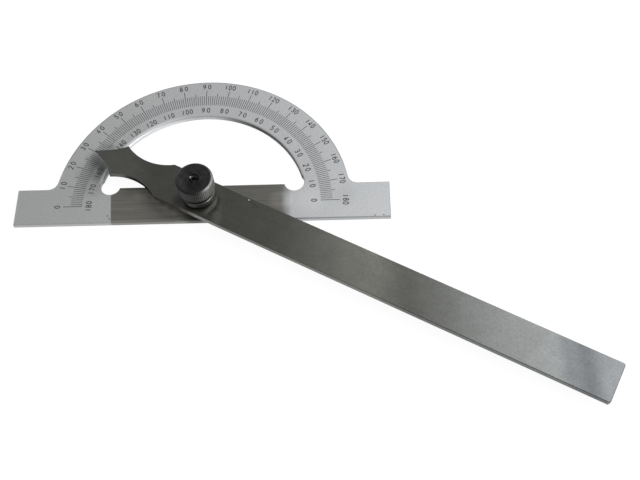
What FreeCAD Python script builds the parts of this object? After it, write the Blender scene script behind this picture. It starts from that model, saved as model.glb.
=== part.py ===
import FreeCAD, Part
import math
import os

from FreeCAD import Vector

# Bevel protractor, catalogue size 120 x 150. Millimetres and degrees.
# Origin: pivot axis at the plate's underside. +X runs along the base bar, +Y from the bar to the top
# of the arc, +Z from the plate up to the knurled nut.

# Protractor plate
plate_thickness = 2.0
base_length = 150.0
base_shift = 0.4             # the bar's middle lies this far right of the pivot line
base_front_y = -8.0          # reference edge of the base bar
base_back_y = 8.2            # edge of the bar that the arc stands on
arc_outer_radius = 59.9
arc_inner_radius = 41.95
arc_root_fillet = 4.0        # round between the arc's outside and the bar
notch_radius = 4.05          # relief notch in each lower corner of the window
notch_spread = 37.2          # notch centre from the pivot line, to either side
notch_height = 1.0           # notch centre above the bar's back edge
plate_edge_break = 0.35

# Blade, lying along the scale reading that the rest pose shows
blade_thickness = 2.5
blade_width = 16.2
blade_far_end = 171.8        # from the pivot to the square end
blade_tip = 49.6             # from the pivot to the pointer's point
waist_near = 16.1            # the waist's two ends, from the pivot
waist_far = 37.6
waist_half_width = 4.6
pointer_half_width = 7.3     # at the corners where the waist meets the pointer
pointer_sag = 1.1            # how far the pointer's flanks are hollowed
pointer_bevel_length = 4.6
pointer_tip_thickness = 1.0
blade_corner_cut = 0.6
blade_edge_break = 0.2
rest_reading = 28.0          # degrees on the outer scale, zero on the left

# Spacer ring between plate and blade
spacer_height = 3.7
spacer_outer_radius = 6.0

# Pivot stud, its head flush in the plate's underside
journal_radius = 3.0         # plain part that the blade turns on
stud_head_radius = 4.7
stud_head_angle = 90.0       # countersink angle
stud_head_rim = 0.3          # straight rim below the cone
thread_radius = 2.5          # M5 thread, modelled plain
stud_flat_half_width = 2.1   # two flats that key the thrust washer
journal_drop = 0.1           # journal ends this far below the blade's top
stud_end_chamfer = 0.5
stud_engagement = 6.0        # thread length inside the nut

# Spring washer, a cone spring with its wide rim on the blade
spring_height = 1.4
spring_thickness = 0.7
spring_outer_radius = 5.4

# Thrust washer, keyed to the stud's flats
thrust_height = 2.6
thrust_outer_radius = 6.7
thrust_chamfer = 0.3

# Knurled clamp nut
collar_height = 2.45
collar_radius = 4.8
head_height = 6.4
head_radius = 7.3
head_top_chamfer = 0.8
head_bottom_chamfer = 0.35
knurl_count = 60
knurl_depth = 0.25
neck_bevel = 0.4             # bevel between collar and head
nut_roof = 2.3               # metal above the threaded bore
top_hole_radius = 1.4
top_sink_radius = 2.0
top_sink_angle = 90.0

# Clearances
running_clearance = 0.05     # radial, between pieces that turn or slide on each other
spring_clearance = 0.3       # radial, round the stud under the cone spring

# Working values
cut_overrun = 1.0            # how far a cutter runs past the face it opens
place_tolerance = 1e-3       # how near an edge must lie to count as being at a place

# Heights of the stack, from the plate's underside up
spacer_base_z = plate_thickness
blade_base_z = spacer_base_z + spacer_height
blade_top_z = blade_base_z + blade_thickness
thrust_base_z = blade_top_z + spring_height
nut_base_z = thrust_base_z + thrust_height
head_base_z = nut_base_z + collar_height
nut_top_z = head_base_z + head_height

UP = Vector(0, 0, 1)


def cylinder(radius, bottom, top):
    return Part.makeCylinder(radius, top - bottom, Vector(0, 0, bottom), UP)


def cone(bottom_radius, top_radius, bottom, top):
    return Part.makeCone(bottom_radius, top_radius, top - bottom, Vector(0, 0, bottom), UP)


def box(x_low, x_high, y_low, y_high, bottom, top):
    return Part.makeBox(x_high - x_low, y_high - y_low, top - bottom, Vector(x_low, y_low, bottom))


def prism(edges, bottom, top):
    """Straight-walled solid on a closed outline drawn at the height bottom."""
    return Part.Face(Part.Wire(edges)).extrude(Vector(0, 0, top - bottom))


def ring_section(points):
    """Solid of revolution about Z from (radius, height) corners."""
    outline = [Vector(radius, 0, height) for radius, height in points]
    face = Part.Face(Part.makePolygon(outline + outline[:1]))
    return face.revolve(Vector(0, 0, 0), UP, 360)


def sagged_arc(start, end, sag, height):
    """Arc from start to end whose middle lies sag to the right of the chord."""
    along = Vector(end[0] - start[0], end[1] - start[1], 0)
    right = Vector(along.y, -along.x, 0).normalize()
    middle = Vector((start[0] + end[0]) / 2, (start[1] + end[1]) / 2, height) + right * sag
    return Part.Arc(Vector(*start, height), middle, Vector(*end, height)).toShape()


def segment(start, end, height):
    return Part.LineSegment(Vector(*start, height), Vector(*end, height)).toShape()


def lies_at(edge, height):
    """True for an edge that lies wholly in the plane z = height."""
    limits = edge.BoundBox
    return limits.ZMin > height - place_tolerance and limits.ZMax < height + place_tolerance


def break_edges(solid, height, size):
    """Small chamfer on the outline that lies at the given height."""
    return solid.makeChamfer(size, [edge for edge in solid.Edges if lies_at(edge, height)])


def stud_head_top():
    """Height at which the stud's cone meets its journal."""
    half_angle = math.radians(stud_head_angle / 2)
    return stud_head_rim + (stud_head_radius - journal_radius) / math.tan(half_angle)


def half_ring():
    """The arc, down to the pivot line, before the bar is added."""
    ring = cylinder(arc_outer_radius, 0, plate_thickness)
    upper_half = box(-arc_outer_radius, arc_outer_radius, 0, arc_outer_radius, 0, plate_thickness)
    return ring.common(upper_half)


def window_cutter():
    """D-shaped window with a round relief notch in each lower corner."""
    low, high = -cut_overrun, plate_thickness + cut_overrun
    notch_y = base_back_y + notch_height
    above_notches = box(-arc_inner_radius, arc_inner_radius, notch_y, arc_inner_radius, low, high)
    dome = cylinder(arc_inner_radius, low, high).common(above_notches)
    between_notches = box(-notch_spread, notch_spread, base_back_y, notch_y, low, high)
    notches = [Part.makeCylinder(notch_radius, high - low, Vector(side * notch_spread, notch_y, low), UP)
               for side in (-1, 1)]
    return dome.fuse([between_notches, *notches])


def arc_root_edges(solid):
    """The two upright edges where the arc's outside meets the bar's back edge."""
    reach = math.sqrt(arc_outer_radius ** 2 - base_back_y ** 2)
    corner = Vector(reach, base_back_y, plate_thickness / 2)
    found = []
    for edge in solid.Edges:
        middle = edge.CenterOfMass
        mirrored = Vector(abs(middle.x), middle.y, middle.z)
        if mirrored.distanceToPoint(corner) < place_tolerance:
            found.append(edge)
    return found


def make_protractor_plate():
    half = base_length / 2
    bar = box(base_shift - half, base_shift + half, base_front_y, base_back_y, 0, plate_thickness)
    plate = half_ring().fuse(bar).removeSplitter()
    plate = plate.makeFillet(arc_root_fillet, arc_root_edges(plate))
    plate = plate.cut(window_cutter()).removeSplitter()
    plate = break_edges(plate, plate_thickness, plate_edge_break)
    return plate.cut(stud_head_solid()).cut(cylinder(journal_radius, 0, plate_thickness))


def stud_head_solid():
    """Flush countersunk head: a short straight rim, then the cone up to the journal."""
    rim = cylinder(stud_head_radius, 0, stud_head_rim)
    return rim.fuse(cone(stud_head_radius, journal_radius, stud_head_rim, stud_head_top()))


def stud_end_z():
    return nut_base_z + stud_engagement


def make_pivot_stud():
    journal_end = blade_top_z - journal_drop
    journal = cylinder(journal_radius, 0, journal_end)
    end_z = stud_end_z()
    shank = cylinder(thread_radius, journal_end, end_z - stud_end_chamfer)
    tip_radius = thread_radius - stud_end_chamfer
    tip = cone(thread_radius, tip_radius, end_z - stud_end_chamfer, end_z)
    between_flats = box(-thread_radius, thread_radius, -stud_flat_half_width, stud_flat_half_width,
                        journal_end, end_z)
    shank = shank.fuse(tip).common(between_flats)
    return stud_head_solid().fuse([journal, shank]).removeSplitter()


def make_spacer_ring():
    outside = cylinder(spacer_outer_radius, spacer_base_z, blade_base_z)
    return outside.cut(cylinder(journal_radius + running_clearance, spacer_base_z, blade_base_z))


def blade_outline():
    """Outline of the blade along +X, from the pointer at the left to the square end."""
    half = blade_width / 2
    cut = blade_corner_cut
    z = blade_base_z
    barb = pointer_half_width
    waist_sag = (half + barb) / 2 - waist_half_width
    corners = [(-waist_near, -half), (blade_far_end - cut, -half), (blade_far_end, -half + cut),
               (blade_far_end, half - cut), (blade_far_end - cut, half), (-waist_near, half)]
    edges = [segment(start, end, z) for start, end in zip(corners, corners[1:])]
    edges.append(sagged_arc((-waist_near, half), (-waist_far, barb), -waist_sag, z))
    edges.append(sagged_arc((-waist_far, barb), (-blade_tip, 0), -pointer_sag, z))
    edges.append(sagged_arc((-blade_tip, 0), (-waist_far, -barb), -pointer_sag, z))
    edges.append(sagged_arc((-waist_far, -barb), (-waist_near, -half), -waist_sag, z))
    return edges


def pointer_bevel_cutter():
    """Wedge that thins the pointer's top down to its point."""
    start = (-blade_tip + pointer_bevel_length, blade_top_z)
    drop = blade_thickness - pointer_tip_thickness
    slope = drop / pointer_bevel_length
    low = (-blade_tip - cut_overrun, blade_top_z - drop - slope * cut_overrun)
    high = (-blade_tip - cut_overrun, blade_top_z + cut_overrun)
    corners = [Vector(x, -blade_width, z) for x, z in (start, low, high, (start[0], high[1]))]
    face = Part.Face(Part.makePolygon(corners + corners[:1]))
    return face.extrude(Vector(0, 2 * blade_width, 0))


def make_blade():
    blade = prism(blade_outline(), blade_base_z, blade_top_z)
    blade = break_edges(blade, blade_top_z, blade_edge_break)
    blade = blade.cut(pointer_bevel_cutter())
    blade = blade.cut(cylinder(journal_radius + running_clearance, blade_base_z, blade_top_z))
    blade.rotate(Vector(0, 0, 0), UP, -rest_reading)
    return blade


def make_spring_washer():
    """Cone spring: wide rim on the blade, narrow rim against the thrust washer."""
    inner = thread_radius + spring_clearance
    rise = spring_height - spring_thickness
    return ring_section([
        (spring_outer_radius, blade_top_z),
        (spring_outer_radius, blade_top_z + spring_thickness),
        (inner, thrust_base_z),
        (inner, blade_top_z + rise),
    ])


def keyed_bore(bottom, top):
    """Round hole with two flats, a running clearance larger than the stud's shank."""
    radius = thread_radius + running_clearance
    flat = stud_flat_half_width + running_clearance
    return cylinder(radius, bottom, top).common(box(-radius, radius, -flat, flat, bottom, top))


def make_thrust_washer():
    cut = thrust_chamfer
    washer = ring_section([
        (0, thrust_base_z), (thrust_outer_radius - cut, thrust_base_z),
        (thrust_outer_radius, thrust_base_z + cut), (thrust_outer_radius, nut_base_z - cut),
        (thrust_outer_radius - cut, nut_base_z), (0, nut_base_z),
    ])
    return washer.cut(keyed_bore(thrust_base_z, nut_base_z))


def knurl_profile():
    """Star outline of the straight knurl: a ridge and a groove for each of its teeth."""
    corners = []
    for step in range(2 * knurl_count):
        angle = math.pi * step / knurl_count
        radius = head_radius if step % 2 == 0 else head_radius - knurl_depth
        corners.append(Vector(radius * math.cos(angle), radius * math.sin(angle), head_base_z))
    return Part.makePolygon(corners + corners[:1])


def make_knurled_head():
    """Knurled disc, turned to a chamfer at both rims."""
    knurled = Part.Face(knurl_profile()).extrude(Vector(0, 0, head_height))
    turned = ring_section([
        (0, head_base_z), (head_radius - head_bottom_chamfer, head_base_z),
        (head_radius, head_base_z + head_bottom_chamfer), (head_radius, nut_top_z - head_top_chamfer),
        (head_radius - head_top_chamfer, nut_top_z), (0, nut_top_z),
    ])
    return knurled.common(turned)


def nut_bore():
    """Threaded bore from below, a drilled hole through the roof, and its countersink."""
    bore_end = nut_top_z - nut_roof
    bore = cylinder(thread_radius + running_clearance, nut_base_z, bore_end)
    hole = cylinder(top_hole_radius, bore_end, nut_top_z)
    sink_depth = (top_sink_radius - top_hole_radius) / math.tan(math.radians(top_sink_angle / 2))
    sink = cone(top_hole_radius, top_sink_radius, nut_top_z - sink_depth, nut_top_z)
    return bore.fuse([hole, sink])


def make_clamp_nut():
    collar = cylinder(collar_radius, nut_base_z, head_base_z)
    neck = cone(collar_radius, collar_radius + neck_bevel, head_base_z - neck_bevel, head_base_z)
    nut = make_knurled_head().fuse([collar, neck])
    return nut.cut(nut_bore()).removeSplitter()


SUB_PARTS = {
    "protractor_plate": make_protractor_plate,
    "pivot_stud": make_pivot_stud,
    "spacer_ring": make_spacer_ring,
    "blade": make_blade,
    "spring_washer": make_spring_washer,
    "thrust_washer": make_thrust_washer,
    "clamp_nut": make_clamp_nut,
}


def main():
    os.makedirs("parts", exist_ok=True)
    for name, make in SUB_PARTS.items():
        shape = make()
        solids = shape.Solids
        if len(solids) != 1 or not solids[0].isValid():
            raise RuntimeError(name + " is not one valid solid")
        solids[0].exportStep("parts/" + name + ".step")
        limits = solids[0].BoundBox
        print(name, "z", round(limits.ZMin, 2), round(limits.ZMax, 2))


main()
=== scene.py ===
import math

import bpy
from mathutils import Euler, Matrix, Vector


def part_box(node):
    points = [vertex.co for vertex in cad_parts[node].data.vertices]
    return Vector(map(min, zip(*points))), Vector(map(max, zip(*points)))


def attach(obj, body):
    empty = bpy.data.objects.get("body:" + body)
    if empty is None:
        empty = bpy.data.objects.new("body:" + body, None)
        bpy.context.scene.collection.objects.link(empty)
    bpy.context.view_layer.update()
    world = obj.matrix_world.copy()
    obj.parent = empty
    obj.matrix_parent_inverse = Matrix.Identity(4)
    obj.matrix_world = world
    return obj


# Bevel protractor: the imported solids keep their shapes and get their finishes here, and the graduations
# and numbers are added. Metres and radians in the frame of the solids, unless a comment says otherwise.

MM = 0.001

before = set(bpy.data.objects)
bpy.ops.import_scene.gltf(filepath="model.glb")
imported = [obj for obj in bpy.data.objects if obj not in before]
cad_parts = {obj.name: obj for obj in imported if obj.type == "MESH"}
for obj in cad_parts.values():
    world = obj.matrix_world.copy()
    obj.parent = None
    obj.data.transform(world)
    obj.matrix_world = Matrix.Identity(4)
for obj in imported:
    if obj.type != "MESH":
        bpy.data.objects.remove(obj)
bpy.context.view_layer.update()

plate_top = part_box("protractor_plate")[1].z
blade_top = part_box("blade")[1].z
washer_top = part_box("thrust_washer")[1].z
nut_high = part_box("clamp_nut")[1]


# Small helpers for node materials

class Material:
    """A node material with a Principled shader, and short calls that add and join nodes.

    A span is the two places, in mm, between which one finish gives way to another. A level makes a
    colour lighter or darker by that factor. A share runs from zero to one.
    """

    def __init__(self, name):
        self.block = bpy.data.materials.new(name)
        self.block.use_nodes = True
        self.tree = self.block.node_tree
        self.shader = self.tree.nodes["Principled BSDF"]
        self.place = None
        self.flat = None

    def node(self, kind, inputs=None, **settings):
        made = self.tree.nodes.new("ShaderNode" + kind)
        for key, value in settings.items():
            setattr(made, key, value)
        for key, value in (inputs or {}).items():
            self.feed(made.inputs[key], value)
        return made

    def feed(self, socket, value):
        if isinstance(value, bpy.types.NodeSocket):
            self.tree.links.new(value, socket)
        else:
            socket.default_value = value

    def set(self, **values):
        for key, value in values.items():
            self.feed(self.shader.inputs[key.replace("_", " ")], value)

    def position(self):
        """Place on the piece at rest, in metres."""
        if self.place is None:
            self.place = self.node("TexCoord").outputs["Object"]
        return self.place

    def math(self, operation, a, b=None, clamp=False):
        made = self.node("Math", operation=operation, use_clamp=clamp)
        self.feed(made.inputs[0], a)
        if b is not None:
            self.feed(made.inputs[1], b)
        return made.outputs[0]

    def axes(self):
        split = self.node("SeparateXYZ", {0: self.position()})
        return split.outputs[0], split.outputs[1], split.outputs[2]

    def ramp(self, value, low, high, to_low=0.0, to_high=1.0, smooth=True):
        kind = "SMOOTHSTEP" if smooth else "LINEAR"
        made = self.node("MapRange", interpolation_type=kind)
        for socket, number in zip(made.inputs[:5], (value, low, high, to_low, to_high)):
            self.feed(socket, number)
        return made.outputs[0]

    def rise(self, value, span, smooth=True):
        """From zero to one over a span."""
        return self.ramp(value, span[0] * MM, span[1] * MM, smooth=smooth)

    def fall(self, value, span):
        """From one to zero over a span."""
        return self.ramp(value, span[0] * MM, span[1] * MM, 1.0, 0.0)

    def spread(self, noise, part, levels=(0.0, 1.0)):
        """A part of a noise's range spread evenly over two levels."""
        return self.ramp(noise, *part, *levels, smooth=False)

    def between(self, share, none, full):
        """A number from that of no share to that of a full share."""
        return self.node("Mix", {0: share, 2: none, 3: full}, data_type="FLOAT").outputs[0]

    def product(self, first, *others):
        for other in others:
            first = self.math("MULTIPLY", first, other)
        return first

    def noise(self, scale, detail, roughness=0.5, stretch=(1, 1, 1), turn=0.0):
        """Noise of about 1 / scale metres, longer along the axes whose stretch is small."""
        where = self.position()
        if turn:
            turned = self.node("VectorRotate", {"Vector": where, "Angle": turn}, rotation_type="Z_AXIS")
            where = turned.outputs[0]
        mapped = self.node("Mapping", {"Vector": where, "Scale": stretch}, vector_type="POINT")
        inputs = {"Vector": mapped.outputs[0], "Scale": scale, "Detail": detail, "Roughness": roughness}
        return self.node("TexNoise", inputs).outputs[0]

    def mix(self, factor, a, b):
        made = self.node("Mix", data_type="RGBA")
        self.feed(made.inputs[0], factor)
        self.feed(made.inputs[6], a)
        self.feed(made.inputs[7], b)
        return made.outputs[2]

    def scaled(self, colour, level):
        made = self.node("VectorMath", operation="SCALE")
        self.feed(made.inputs[0], colour)
        self.feed(made.inputs["Scale"], level)
        return made.outputs[0]

    def multiplied(self, colour, other):
        return self.node("VectorMath", {0: colour, 1: other}, operation="MULTIPLY").outputs[0]

    def graded(self, colour, value, span, levels, smooth=True):
        """A colour that goes from one level to another over a span."""
        return self.scaled(colour, self.ramp(value, span[0] * MM, span[1] * MM, *levels, smooth=smooth))

    def mottled(self, colour, noise, part, levels):
        return self.scaled(colour, self.spread(noise, part, levels))

    def shaded(self, colour, share, level):
        """A colour brought to a level where the share is full."""
        return self.scaled(colour, self.between(share, none=1.0, full=level))

    def distance(self, place=(0.0, 0.0)):
        """Distance in the XY plane from a place in mm, which is the pivot unless stated."""
        if self.flat is None:
            x, y, _ = self.axes()
            self.flat = self.node("CombineXYZ", {0: x, 1: y}).outputs[0]
        centre = (place[0] * MM, place[1] * MM, 0.0)
        away = self.node("VectorMath", {0: self.flat, 1: centre}, operation="DISTANCE")
        return away.outputs["Value"]

    def toward(self, turn):
        """Distance from the pivot along a way in the XY plane that is turned this far from +X."""
        x, y, _ = self.axes()
        return self.math("ADD", self.product(x, math.cos(turn)), self.product(y, math.sin(turn)))

    def stained(self, colour, patches):
        """A colour with soft round patches made darker or lighter, each a place in mm, its reach in mm and
        its level; on the plate and the blade these are painted shade and painted light.
        """
        for x, y, reach, level in patches:
            patch = self.fall(self.distance((x, y)), (patch_core * reach, reach))
            colour = self.shaded(colour, patch, level)
        return colour

    def dotted(self, colour, places, span, dot):
        """A colour with dots of another, whose edge is a span of the distance from each place in mm."""
        for place in places:
            colour = self.mix(self.fall(self.distance(place), span), colour, dot)
        return colour

    def greys(self, value, stops):
        """Grey that runs smoothly through stops, each a place in mm and a level."""
        made = self.node("ValToRGB")
        low, high = stops[0][0], stops[-1][0]
        elements = made.color_ramp.elements
        made.color_ramp.interpolation = "EASE"
        while len(elements) < len(stops):
            elements.new(0.5)
        for element, (place, level) in zip(elements, stops):
            element.position = (place - low) / (high - low)
            element.color = grey(level)
        self.feed(made.inputs[0], self.rise(value, (low, high), smooth=False))
        return made.outputs[0]

    def bump(self, height, depth):
        """Bump by a height from zero to one, whose whole range is as deep as the depth in mm."""
        self.set(Normal=self.node("Bump", {"Height": height, "Distance": depth * MM}).outputs[0])


def tone(red, green, blue):
    """Linear colour of an 8-bit screen tone."""
    def linear(level):
        part = level / 255
        return part / 12.92 if part <= 0.04045 else ((part + 0.055) / 1.055) ** 2.4
    return linear(red), linear(green), linear(blue), 1.0


def grey(level):
    """Linear grey colour."""
    return level, level, level, 1.0


def dress(node, material):
    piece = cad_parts[node]
    piece.data.materials.clear()
    piece.data.materials.append(material.block)
    for polygon in piece.data.polygons:
        polygon.material_index = 0


# Parts of a noise's range, which is zero to one, that make a change sharper or softer
narrow_part = (0.35, 0.65)
middle_part = (0.3, 0.7)
wide_part = (0.25, 0.75)

patch_core = 0.2                                           # share of a patch's reach that it fills evenly


# Finish of the plate: spans along X
ground_left = (-36.5, -35.9)                               # the bar's middle stretch is ground from here
ground_right = (31.4, 36.2)                                # up to here
dull_left = (30.0, 32.0)                                   # the chrome beside it is duller from here
dull_right = (34.7, 36.5)                                  # up to here
warm_to_cold = (-50.0, 0.0)                                # the chrome's hue changes
chrome_across = (-60.0, 60.0)
# the ground steel darkens along the next span: painted shade of the blade
steel_shade_across = (-28.0, 18.0)
rim_across = (-40.0, 50.0)
back_shadow_right = (-28.0, -18.0)                           # the painted shadow line along the bar's back ends here
lip_highlight_right = (-22.0, -2.0)                             # the lip of the window has a painted highlight up to here
lip_shade_left = (3.0, 18.0)                                # and painted in shade from here
wall_highlight_right = (-18.0, -4.0)                                # the wall of the window has a painted highlight up to here
wall_shade_left = (0.0, 24.0)                                   # and painted in shade from here

# Spans along Y
ground_back = (9.5, 9.8)                                   # the ground stretch ends before the arc's inside
arc_front = (9.5, 10.5)                                    # and the arc starts
chrome_up = (12.0, 50.0)
front_edge_highlight = (-6.5, -7.7)                                  # the painted highlight along the bar's front edge starts here
back_edge_shadow = (7.2, 7.6)                                     # and the painted shadow line along its back
rim_low = (14.0, 20.0)                                     # the arc's outer rim is darker from here
lip_up = (20.0, 27.0)                                      # the painted highlights on the window's lip and wall grow brighter

# Spans of the distance from the pivot
rim_inside = (59.1, 59.5)                                  # the darker rim of the arc starts here
lip_highlight_outside = (43.0, 43.7)
lip_shade_outside = (42.4, 42.9)
window_outside = (42.3, 42.32)                             # just outside the window's wall

# Spans of the height above the plate's top
bar_wall_top = (-0.45, -0.2)
window_wall_top = (-0.25, -0.15)

ground_slant = 0.088                                       # slope of the ground stretch's left end
ground_wall_share = 0.64                                   # how far the bar's walls are ground
# Soft round patches on the plate, each a place in mm, its reach in mm and its level: the darker ones are
# mostly painted shadow and reflection of the blade and its pointer, the paler ones painted light where the
# blade's shadow falls on the ground middle
plate_painted_shade_and_light = ((58.0, 2.5, 6.5, 0.93), (-44.0, 21.5, 6.5, 0.64), (-42.5, 16.0, 6.5, 0.64),
                (-41.7, 17.5, 2.5, 0.70), (-44.5, 9.0, 8.0, 0.82), (43.0, 0.5, 9.0, 1.12),
                (31.5, 0.5, 6.0, 1.6), (-43.0, 21.3, 5.0, 0.66), (-40.8, 16.2, 3.5, 0.72),
                (-48.0, 15.5, 6.0, 0.84), (-42.2, 13.3, 4.5, 0.80), (-41.5, 28.2, 2.6, 0.84),
                (-38.5, 27.6, 2.6, 0.66), (-18.0, 2.4, 3.2, 1.5), (-15.2, 0.2, 4.0, 1.7),
                (-12.0, -2.2, 4.5, 1.7), (-8.8, -4.8, 4.0, 1.5), (-24.2, 6.0, 5.0, 1.6),
                (-20.4, 3.8, 4.0, 1.3), (-34.0, 28.0, 4.0, 0.76), (-2.0, -7.4, 5.0, 0.45))
plate_pits = ((69.1, -7.2), (72.6, -7.1), (-36.3, -6.2), (-37.2, -4.8))
plate_pit_edge = (0.13, 0.43)                              # span of the distance from a pit's middle


def satin_plate():
    """Satin chrome on the arc and the bar's ends, with the bar's ground middle left dark."""
    made = Material("satin_plate")
    x, y, z = made.axes()
    radius = made.distance()
    from_top = made.math("SUBTRACT", z, plate_top)
    clouds = made.noise(scale=60, detail=3)
    speckle = made.noise(scale=1500, detail=3, roughness=0.65)
    grain = made.noise(scale=9000, detail=2, roughness=0.7)
    lay = made.noise(scale=500, detail=4, roughness=0.6, stretch=(0.08, 2, 1))

    slanted = made.math("ADD", x, made.product(y, ground_slant))
    on_bar = made.fall(y, ground_back)
    by_face = made.between(made.rise(from_top, bar_wall_top), none=ground_wall_share, full=1.0)
    ground = made.product(made.rise(slanted, ground_left), made.fall(x, ground_right), on_bar, by_face)
    dull = made.product(on_bar, made.rise(x, dull_left), made.fall(x, dull_right))

    warm_chrome = made.mix(clouds, tone(176, 178, 177), tone(186, 188, 187))
    cold_chrome = made.mix(clouds, tone(176, 178, 180), tone(186, 188, 190))
    chrome = made.mix(made.rise(x, warm_to_cold), warm_chrome, cold_chrome)
    chrome = made.mottled(chrome, speckle, wide_part, levels=(0.86, 1.12))
    chrome = made.graded(chrome, y, chrome_up, levels=(1.0, 1.08))
    chrome = made.graded(chrome, x, chrome_across, levels=(0.96, 1.04), smooth=False)
    chrome = made.shaded(chrome, dull, level=0.80)

    steel = made.mix(made.spread(lay, narrow_part), tone(90, 89, 84), tone(107, 106, 100))
    steel = made.mottled(steel, speckle, wide_part, levels=(0.93, 1.06))
    steel = made.graded(steel, x, steel_shade_across, levels=(1.0, 0.86))
    steel = made.graded(steel, y, front_edge_highlight, levels=(1.0, 1.5))
    on_back_shadow = made.product(made.rise(y, back_edge_shadow), made.fall(x, back_shadow_right))
    steel = made.shaded(steel, on_back_shadow, level=0.55)

    colour = made.stained(made.mix(ground, chrome, steel), plate_painted_shade_and_light)
    colour = made.dotted(colour, plate_pits, plate_pit_edge, tone(70, 69, 66))
    on_rim = made.product(made.rise(radius, rim_inside), made.rise(y, rim_low))
    darker_rim = made.graded(colour, x, rim_across, levels=(0.64, 0.80))
    colour = made.mix(on_rim, colour, darker_rim)

    # The window's lip and its wall, with painted highlight on the left and painted shade on the right
    on_arc = made.rise(y, arc_front)
    high_up = made.rise(y, lip_up)
    lip_highlight = made.product(made.fall(radius, lip_highlight_outside), on_arc, made.fall(x, lip_highlight_right))
    colour = made.mix(lip_highlight, colour, made.mix(high_up, tone(178, 180, 181), tone(222, 224, 226)))
    # Painted shade on the lip's right side
    lip_shade = made.product(made.fall(radius, lip_shade_outside), on_arc, made.rise(x, lip_shade_left))
    colour = made.shaded(colour, lip_shade, level=0.72)
    wall = made.product(made.fall(radius, window_outside), made.fall(from_top, window_wall_top), on_arc)
    # Painted shade on the window's right wall
    wall_shade = made.product(wall, made.rise(x, wall_shade_left))
    colour = made.mix(wall_shade, colour, tone(50, 50, 49))
    # Painted highlight on the window's left wall
    wall_highlight = made.product(wall, made.fall(x, wall_highlight_right))
    colour = made.mix(wall_highlight, colour, made.mix(high_up, tone(137, 138, 139), tone(224, 226, 228)))

    made.set(Base_Color=colour, Metallic=made.between(ground, none=0.82, full=0.3))
    rough_chrome = made.spread(grain, middle_part, levels=(0.38, 0.48))
    rough_steel = made.spread(lay, middle_part, levels=(0.40, 0.48))
    made.set(Roughness=made.between(ground, none=rough_chrome, full=rough_steel))
    made.bump(made.between(ground, none=grain, full=lay), depth=0.004)
    return made


# Finish of the blade
rest_reading = math.radians(28.0)                          # of the pointer at rest, on the outer scale
to_tip = math.pi - rest_reading                            # turn from +X to the way the pointer points
to_back = to_tip - math.pi / 2                             # and to the way that the back wall faces
scratch_turn = 0.12                                        # of the scratches against the grinding's lay
scratch_part = (0.66, 0.74)                                # of the noise's range
near_hue_end = (70.0, 110.0)                               # spans along X over which the hue changes
far_hue_start = (125.0, 140.0)
scuff_outside = (8.0, 12.0)                                # span of the distance from the pivot
# Soft patches on the blade, each a place and reach in mm and a level: painted light that lifts the shade in
# front of the clamp, and painted shade to its left
blade_painted_light_and_shade = ((-8.0, -2.0, 4.0, 0.60), (5.5, -6.5, 5.5, 1.4), (1.0, -7.5, 4.5, 1.5),
                (6.0, -10.2, 4.5, 1.8), (2.0, -9.3, 3.5, 1.7), (-2.0, -8.0, 3.0, 1.8))
blade_pits = ((20.8, -3.4), (22.2, -4.7), (21.2, -6.0), (23.1, -6.0))
blade_pit_edge = (0.16, 0.40)                              # span of the distance from a pit's middle
blade_glints = ((19.9, -2.65),)                            # painted glint
blade_glint_edge = (0.20, 0.44)

# Painted reflection bands, light and shade along the blade: place along X, and level
blade_reflection_levels = ((-50, 1.0), (-30, 0.97), (-18, 0.74), (0, 0.72), (30, 0.80), (47, 1.0), (60, 1.14),
                (66, 1.12), (80, 0.70), (92, 0.79), (103, 0.91), (122, 1.01), (131, 1.06), (136, 0.84),
                (142, 0.66), (149, 1.03), (156, 1.09))

# Painted reflection of the washer, and painted light in its shade, as a ring on the blade: distance from
# its centre, and level
washer_reflection_centre = (0.2, -1.8)
washer_reflection_levels = ((4.6, 1.6), (5.9, 2.5), (6.7, 1.6), (7.7, 0.58), (9.0, 1.0))
washer_reflection_left = (2.0, 4.5)                                     # it shows to the right of this span along X
washer_reflection_back = (-1.6, -0.3)                                   # and in front of this span along Y

# Front wall, with painted light and painted shade: distance from the pivot towards the tip, and level or
# how far the wall is painted black
front_wall_light_levels = ((-14, 1.0), (-8, 0.7), (-2, 0.75), (3, 1.9), (9, 3.0), (14, 3.3), (17.5, 1.0))
front_wall_shade = ((15, 0.0), (18, 1.0), (28, 1.0), (35, 0.3), (37, 0.3), (39, 0.8), (45, 0.8), (46, 0.0))
blade_wall_top = (-0.4, -0.2)                              # span of the height above the blade's top
blade_front_half = (-1.0, 0.0)                             # the front half ends, towards the back wall


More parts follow.
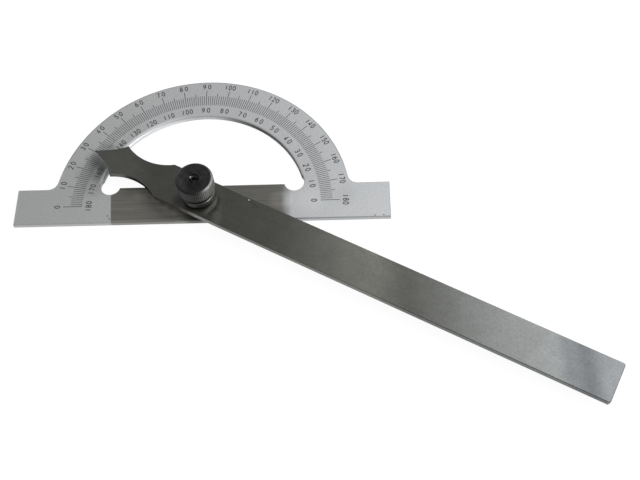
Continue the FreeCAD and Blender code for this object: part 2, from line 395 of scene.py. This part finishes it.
def ground_steel():
    """Flat-ground steel of the blade: faint lay of the grinding along it and a few pits, with painted
    reflection bands, glints, light and shade.
    """
    made = Material("ground_steel")
    x, y, z = made.axes()
    from_top = made.math("SUBTRACT", z, blade_top)
    lay = made.noise(scale=700, detail=4, roughness=0.65, stretch=(0.06, 2, 1), turn=rest_reading)
    clouds = made.noise(scale=120, detail=4, roughness=0.6)
    speckle = made.noise(scale=1300, detail=3, roughness=0.6)
    scratches = made.noise(scale=1800, detail=2, roughness=0.6, stretch=(0.03, 1, 1),
                           turn=rest_reading + scratch_turn)

    steel = made.mix(made.rise(x, near_hue_end), tone(96, 96, 92), tone(95, 97, 96))
    steel = made.mix(made.rise(x, far_hue_start), steel, tone(94, 96, 98))
    steel = made.mottled(steel, lay, middle_part, levels=(0.96, 1.04))
    steel = made.mottled(steel, clouds, middle_part, levels=(0.92, 1.08))
    steel = made.mottled(steel, speckle, wide_part, levels=(0.87, 1.13))
    steel = made.shaded(steel, made.ramp(scratches, *scratch_part), level=1.22)
    steel = made.multiplied(steel, made.greys(x, blade_reflection_levels))
    steel = made.dotted(steel, blade_pits, blade_pit_edge, tone(66, 66, 64))
    steel = made.dotted(steel, blade_glints, blade_glint_edge, tone(200, 200, 198))
    steel = made.stained(steel, blade_painted_light_and_shade)
    at_front_right = made.product(made.rise(x, washer_reflection_left), made.fall(y, washer_reflection_back))
    washer_reflection = made.mix(at_front_right, grey(1.0), made.greys(made.distance(washer_reflection_centre), washer_reflection_levels))
    steel = made.multiplied(steel, washer_reflection)

    # The front wall, with painted light by the pivot and painted shade, black and without shine, under the
    # waist and the pointer
    from_middle = made.toward(to_back)
    along = made.toward(to_tip)
    wall = made.product(made.fall(from_top, blade_wall_top), made.fall(from_middle, blade_front_half))
    steel = made.mix(wall, steel, made.multiplied(steel, made.greys(along, front_wall_light_levels)))
    black = made.product(wall, made.greys(along, front_wall_shade))
    steel = made.mix(black, steel, tone(36, 36, 35))

    made.set(Base_Color=steel, Metallic=made.between(black, none=1.0, full=0.0))
    made.set(Specular_IOR_Level=made.between(black, none=0.5, full=0.0))
    scuffed = made.fall(made.distance(), scuff_outside)
    polish = made.spread(lay, middle_part, levels=(0.20, 0.26))
    made.set(Roughness=made.between(scuffed, none=polish, full=0.4))
    made.bump(lay, depth=0.001)
    return made


# Finish of the clamp: spans along X and Z, and of the distance from the axis
nut_left = (-6.0, -1.5)                                    # the nut's left is paler up to here
stud_end_shade = (17.0, 17.5)                                    # the stud's end has painted shade from here
head_underside = (14.72, 14.88)                            # middle of the chamfer under the head
sink_edge = (2.0, 2.05)                                    # just outside the countersink in the nut's top
hole_edge = (1.42, 1.47)                                   # and its hole
washer_wall_top = (-0.3, -0.1)                             # above the washer's top, as the next one
# the washer's top face is lighter from here up: painted light in the head's shade
washer_top_light = (-0.1, -0.02)
head_chamfer = 0.8                                         # at the top of the nut's head
chamfer_blur = 0.08
# darker patch towards the front of the nut's head: place and reach in mm, and level
nut_dark_patches = ((0.3, -3.4, 4.6, 0.62),)
nut_glints = ((-1.35, 0.6),)                                # painted glints on the countersink
nut_glint_edge = (0.16, 0.56)                                   # span of the distance from a nick's middle
wear_part = (0.3, 0.6)                                     # of the noise's range
rubbed_and_lit_side = math.radians(-12)                            # turn from +X to where the clamp is rubbed most and has its painted highlight
rubbed_and_lit_span = (-2.5, nut_high.x / MM)                      # along that way
rubbed_and_lit_power = 5.0
turning_pitch = 0.25                                       # of the marks on the washer and the spacer


def rubbed_share(made):
    """How far the clamp is rubbed and painted with highlight, from none on its left to fully on its
    brightest side.
    """
    return made.math("POWER", made.rise(made.toward(rubbed_and_lit_side), rubbed_and_lit_span, smooth=False), rubbed_and_lit_power)


def plain_steel():
    """Turned steel of the stud, with painted shade at its end down the nut's hole."""
    made = Material("plain_steel")
    _, _, z = made.axes()
    turning = made.noise(scale=2500, detail=3)
    steel = made.mix(turning, tone(110, 110, 108), tone(130, 130, 127))
    made.set(Base_Color=made.mix(made.rise(z, stud_end_shade), steel, tone(88, 88, 86)), Metallic=1.0)
    made.set(Roughness=made.spread(turning, middle_part, levels=(0.3, 0.42)))
    made.bump(turning, depth=0.002)
    return made


def black_steel():
    """Blackened steel of the nut, rubbed brighter on the rim and the knurl that fingers touch and painted
    with highlight on its right side, with painted shade and glints in the countersink.
    """
    made = Material("black_steel")
    x, _, z = made.axes()
    radius = made.distance()
    mottle = made.noise(scale=600, detail=4, roughness=0.65)
    wear = made.noise(scale=1600, detail=3, roughness=0.7)
    black = made.mix(made.spread(mottle, middle_part), tone(37, 37, 37), tone(57, 57, 57))
    black = made.graded(black, x, nut_left, levels=(1.5, 0.95))
    black = made.stained(black, nut_dark_patches)

    top_radius = nut_high.x / MM - head_chamfer
    chamfer_low = nut_high.z / MM - head_chamfer
    outside = made.rise(radius, (top_radius - chamfer_blur, top_radius + chamfer_blur))
    on_chamfer = made.rise(z, (chamfer_low - chamfer_blur, chamfer_low + chamfer_blur))
    touched = made.product(outside, made.rise(z, head_underside))
    share = made.product(rubbed_share(made), made.spread(wear, wear_part, levels=(0.6, 1.0)))
    rubbed_and_lit = made.mix(share, tone(50, 50, 50), tone(218, 218, 215))
    colour = made.mix(touched, black, made.shaded(rubbed_and_lit, on_chamfer, level=0.72))

    # Painted shade in the countersink, with painted glints
    sink_shade = made.dotted(tone(16, 16, 16), nut_glints, nut_glint_edge, tone(172, 172, 170))
    colour = made.mix(made.fall(radius, sink_edge), colour, sink_shade)
    colour = made.mix(made.fall(radius, hole_edge), colour, tone(120, 120, 118))

    made.set(Base_Color=colour, Metallic=0.9)
    polish = made.spread(mottle, middle_part, levels=(0.3, 0.42))
    made.set(Roughness=made.between(touched, none=polish, full=0.44))
    made.bump(mottle, depth=0.004)
    return made


def oiled_steel():
    """Dark steel of the thrust washer and the spacer, with turning marks round the axis, rubbed and painted
    with highlight on the right, and with painted light on the washer's top face.
    """
    made = Material("oiled_steel")
    _, _, z = made.axes()
    from_top = made.math("SUBTRACT", z, washer_top)
    turning = made.math("SINE", made.product(made.distance(), 2 * math.pi / (turning_pitch * MM)))
    mottle = made.noise(scale=1100, detail=3, roughness=0.6)
    steel = made.mix(mottle, tone(54, 54, 53), tone(68, 68, 66))
    by_face = made.between(made.rise(from_top, washer_wall_top), none=1.0, full=0.25)
    steel = made.mix(made.product(rubbed_share(made), by_face), steel, tone(168, 168, 165))
    steel = made.graded(steel, from_top, washer_top_light, levels=(1.0, 3.0))
    steel = made.scaled(steel, made.ramp(turning, low=-1.0, high=1.0, to_low=0.92, to_high=1.08))
    made.set(Base_Color=steel, Metallic=0.95)
    made.set(Roughness=made.spread(mottle, middle_part, levels=(0.3, 0.42)))
    made.bump(mottle, depth=0.004)
    return made


def spring_steel():
    """Dark steel of the cone spring."""
    made = Material("spring_steel")
    mottle = made.noise(scale=1500, detail=2)
    made.set(Base_Color=made.mix(mottle, tone(58, 60, 64), tone(84, 86, 90)), Metallic=1.0)
    made.set(Roughness=made.spread(mottle, middle_part, levels=(0.3, 0.45)))
    made.bump(mottle, depth=0.003)
    return made


# Graduations and numbers, radii from the pivot axis
scale_turn = math.radians(0.2)                             # the scale sits this far round towards zero
tick_inner_radius = 47.75 * MM
tick_lengths = {10: 7.7 * MM, 5: 6.0 * MM, 1: 4.7 * MM}    # by the step in degrees that the line marks
tick_widths = {10: 0.27 * MM, 5: 0.25 * MM, 1: 0.24 * MM}
outer_number_radius = 57.3 * MM
outer_end_number_radius = 57.8 * MM                        # of the outer row's first and last number
inner_number_radius = 45.15 * MM
last_reading = 180
number_step = 10
digit_height = 2.5 * MM
digit_width = 1.4 * MM
digit_stroke = 0.37 * MM
mitre_limit = 0.5                                          # least cosine at a pen stroke's corner
digit_pitch = {1: 2.2 * MM, 2: 2.2 * MM, 3: 1.7 * MM}      # by the count of digits in a number
inlay_depth = 0.10 * MM                                    # how deep the filling goes into the plate
inlay_proud = 0.012 * MM                                   # and how far it stands out


def scale_fill():
    """Dark filling of the engraved lines and numbers."""
    made = Material("scale_fill")
    speckle = made.noise(scale=4000, detail=2)
    made.set(Base_Color=made.mix(speckle, tone(44, 45, 47), tone(70, 71, 73)))
    made.set(Roughness=made.spread(speckle, middle_part, levels=(0.55, 0.75)))
    return made


def mesh_piece(name, corners, faces, material, body):
    mesh = bpy.data.meshes.new(name)
    mesh.from_pydata(corners, [], faces)
    mesh.materials.append(material.block)
    piece = bpy.data.objects.new(name, mesh)
    bpy.context.scene.collection.objects.link(piece)
    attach(piece, body)


def radial(reading, radius, aside=0.0):
    """Point on the plate at a reading of the outer scale, aside along the direction of rising readings."""
    angle = math.pi + scale_turn - math.radians(reading)
    x = radius * math.cos(angle) + aside * math.sin(angle)
    y = radius * math.sin(angle) - aside * math.cos(angle)
    return x, y


class Strips:
    """Low flat strips let into the plate's top, gathered for one mesh."""

    def __init__(self):
        self.corners = []
        self.faces = []

    def add(self, outline):
        """A closed outline in the plate's plane, counter-clockwise."""
        first = len(self.corners)
        count = len(outline)
        for height in (plate_top - inlay_depth, plate_top + inlay_proud):
            self.corners += [(x, y, height) for x, y in outline]
        low = list(range(first, first + count))
        high = list(range(first + count, first + 2 * count))
        self.faces += [low[::-1], high]
        for here, following in zip(range(count), list(range(1, count)) + [0]):
            self.faces.append([low[here], low[following], high[following], high[here]])


def scale_lines():
    strips = Strips()
    for reading in range(last_reading + 1):
        step = next(each for each in tick_lengths if reading % each == 0)
        half = tick_widths[step] / 2
        far = tick_inner_radius + tick_lengths[step]
        strips.add([radial(reading, tick_inner_radius, -half), radial(reading, far, -half),
                    radial(reading, far, half), radial(reading, tick_inner_radius, half)][::-1])
    return strips


def bow(centre, radii, start, end, count=14):
    """Points on an elliptical arc, in degrees counter-clockwise."""
    points = []
    for index in range(count + 1):
        angle = math.radians(start + (end - start) * index / count)
        points.append((centre[0] + radii[0] * math.cos(angle), centre[1] + radii[1] * math.sin(angle)))
    return points


# Each digit's pen strokes, in a box one unit wide about x = 0 and one unit high
DIGITS = {
    "0": [bow((0, 0.5), (0.5, 0.5), 0, 360, 24)],
    "1": [[(0, 0), (0, 1)]],
    "2": [bow((0, 0.72), (0.46, 0.28), 165, -35) + [(-0.5, 0), (0.5, 0)]],
    "3": [bow((0, 0.76), (0.42, 0.24), 150, -90) + bow((0, 0.27), (0.48, 0.27), 88, -150)],
    "4": [[(0.2, 0), (0.2, 1), (-0.5, 0.3), (0.5, 0.3)]],
    "5": [[(0.42, 1), (-0.34, 1)] + bow((0, 0.32), (0.48, 0.32), 135, -150)],
    "6": [bow((0, 0.3), (0.48, 0.3), 0, 360, 20), bow((0.5, 0.3), (0.98, 0.7), 180, 105, 8)],
    "7": [[(-0.48, 1), (0.48, 1), (-0.12, 0)]],
    "8": [bow((0, 0.76), (0.4, 0.24), 0, 360, 18), bow((0, 0.26), (0.48, 0.26), 0, 360, 20)],
    "9": [bow((0, 0.7), (0.48, 0.3), 0, 360, 20), bow((-0.5, 0.7), (0.98, 0.7), 0, -75, 8)],
}


def stroke_outline(points, width):
    """Outline of a pen stroke with square ends along open points, both sides mitred."""
    left, right = [], []
    for index, point in enumerate(points):
        before = points[max(index - 1, 0)]
        after = points[min(index + 1, len(points) - 1)]
        incoming = Vector((point[0] - before[0], point[1] - before[1])).normalized()
        outgoing = Vector((after[0] - point[0], after[1] - point[1])).normalized()
        along = (incoming + outgoing).normalized()
        reach = width / 2 / max(along.dot(outgoing if outgoing.length else incoming), mitre_limit)
        side = Vector((-along.y, along.x)) * reach
        left.append((point[0] + side.x, point[1] + side.y))
        right.append((point[0] - side.x, point[1] - side.y))
    return left, right


def add_number(strips, text, reading, radius):
    """A number whose tops point outward, in quads along each pen stroke."""
    pitch = digit_pitch[len(text)]
    start = -(len(text) - 1) / 2 * pitch
    for place, character in enumerate(text):
        for stroke in DIGITS[character]:
            scaled = [(start + place * pitch + x * (digit_width - digit_stroke),
                       (y - 0.5) * (digit_height - digit_stroke)) for x, y in stroke]
            left, right = stroke_outline(scaled, digit_stroke)
            for index in range(len(scaled) - 1):
                quad = [left[index], right[index], right[index + 1], left[index + 1]]
                strips.add([radial(reading, radius + y, x) for x, y in quad])


def scale_numbers():
    strips = Strips()
    for reading in range(0, last_reading + 1, number_step):
        at_end = reading in (0, last_reading)
        outer = outer_end_number_radius if at_end else outer_number_radius
        add_number(strips, str(reading), reading, outer)
        add_number(strips, str(last_reading - reading), reading, inner_number_radius)
    return strips


# Build

dress("protractor_plate", satin_plate())
dress("blade", ground_steel())
dress("pivot_stud", plain_steel())
dress("clamp_nut", black_steel())
oiled = oiled_steel()
for node in ("spacer_ring", "thrust_washer"):
    dress(node, oiled)
dress("spring_washer", spring_steel())

fill = scale_fill()
for name, strips in (("scale_lines", scale_lines()), ("scale_numbers", scale_numbers())):
    mesh_piece(name, strips.corners, strips.faces, fill, "plate")


# Surroundings
floor_size = 40.0
floor_drop = 0.02 * MM                                     # below the plate's underside
floor_bounce = 0.8                                         # the floor's grey where it lights the object
floor_shade = 0.14                                         # and where it is seen, below its glow
floor_glow = 0.92
world_level = 0.60

# Disc lamps: name, place, size and power in watts
lamps = (("soft_box", (0.62, 0.40, 1.00), 0.9, 5.6),
         ("back_lamp", (0.095, 0.48, 1.00), 0.15, 0.09),
         ("side_lamp", (0.86, -0.45, 0.50), 0.4, 2.4))

camera_place = (57.85 * MM, -195.18 * MM, 335.72 * MM)
camera_turn = (27.961, 2.026, -0.430)                      # in degrees
camera_lens = 54.698                                       # in mm, as the sensor's width is
sensor_width = 36.0


def add_floor():
    """Wide pale floor that shows white and keeps the object's shadow."""
    bpy.ops.mesh.primitive_plane_add(size=floor_size, location=(0, 0, -floor_drop))
    floor = bpy.context.object
    floor.name = "floor"
    made = Material("floor")
    rays = made.node("LightPath")
    seen = made.math("ADD", rays.outputs["Is Camera Ray"], rays.outputs["Is Glossy Ray"])
    seen = made.math("ADD", seen, rays.outputs["Is Transmission Ray"], clamp=True)
    plain = made.node("BsdfDiffuse", {"Color": grey(floor_bounce)})
    shaded = made.node("BsdfDiffuse", {"Color": grey(floor_shade)})
    glow = made.node("Emission", {"Color": grey(1.0), "Strength": floor_glow})
    shown = made.node("AddShader", {0: shaded.outputs[0], 1: glow.outputs[0]})
    both = made.node("MixShader", {0: seen, 1: plain.outputs[0], 2: shown.outputs[0]})
    made.feed(made.tree.nodes["Material Output"].inputs[0], both.outputs[0])
    made.tree.nodes.remove(made.shader)
    floor.data.materials.append(made.block)


def add_lamp(name, place, size, power):
    """Disc lamp that points at the origin and that the camera doesn't see."""
    data = bpy.data.lights.new(name, "AREA")
    data.shape = "DISK"
    data.size = size
    data.energy = power
    lamp = bpy.data.objects.new(name, data)
    bpy.context.scene.collection.objects.link(lamp)
    lamp.location = place
    lamp.rotation_mode = "QUATERNION"
    lamp.rotation_quaternion = (-Vector(place)).to_track_quat("-Z", "Y")
    lamp.visible_camera = False


def add_world():
    world = bpy.data.worlds.new("studio")
    world.use_nodes = True
    background = world.node_tree.nodes["Background"]
    background.inputs["Color"].default_value = grey(1.0)
    background.inputs["Strength"].default_value = world_level
    bpy.context.scene.world = world


def add_camera():
    """The photograph's view, from the front and above, a little to the right of the pivot."""
    data = bpy.data.cameras.new("camera")
    data.sensor_width = sensor_width
    data.lens = camera_lens
    data.clip_start = 0.01
    data.clip_end = 50.0
    camera = bpy.data.objects.new("camera", data)
    bpy.context.scene.collection.objects.link(camera)
    camera.location = camera_place
    camera.rotation_euler = Euler([math.radians(turn) for turn in camera_turn], "XYZ")
    bpy.context.scene.camera = camera


add_floor()
add_world()
for name, place, size, power in lamps:
    add_lamp(name, place, size, power)
add_camera()
bpy.context.scene.view_settings.view_transform = "Standard"
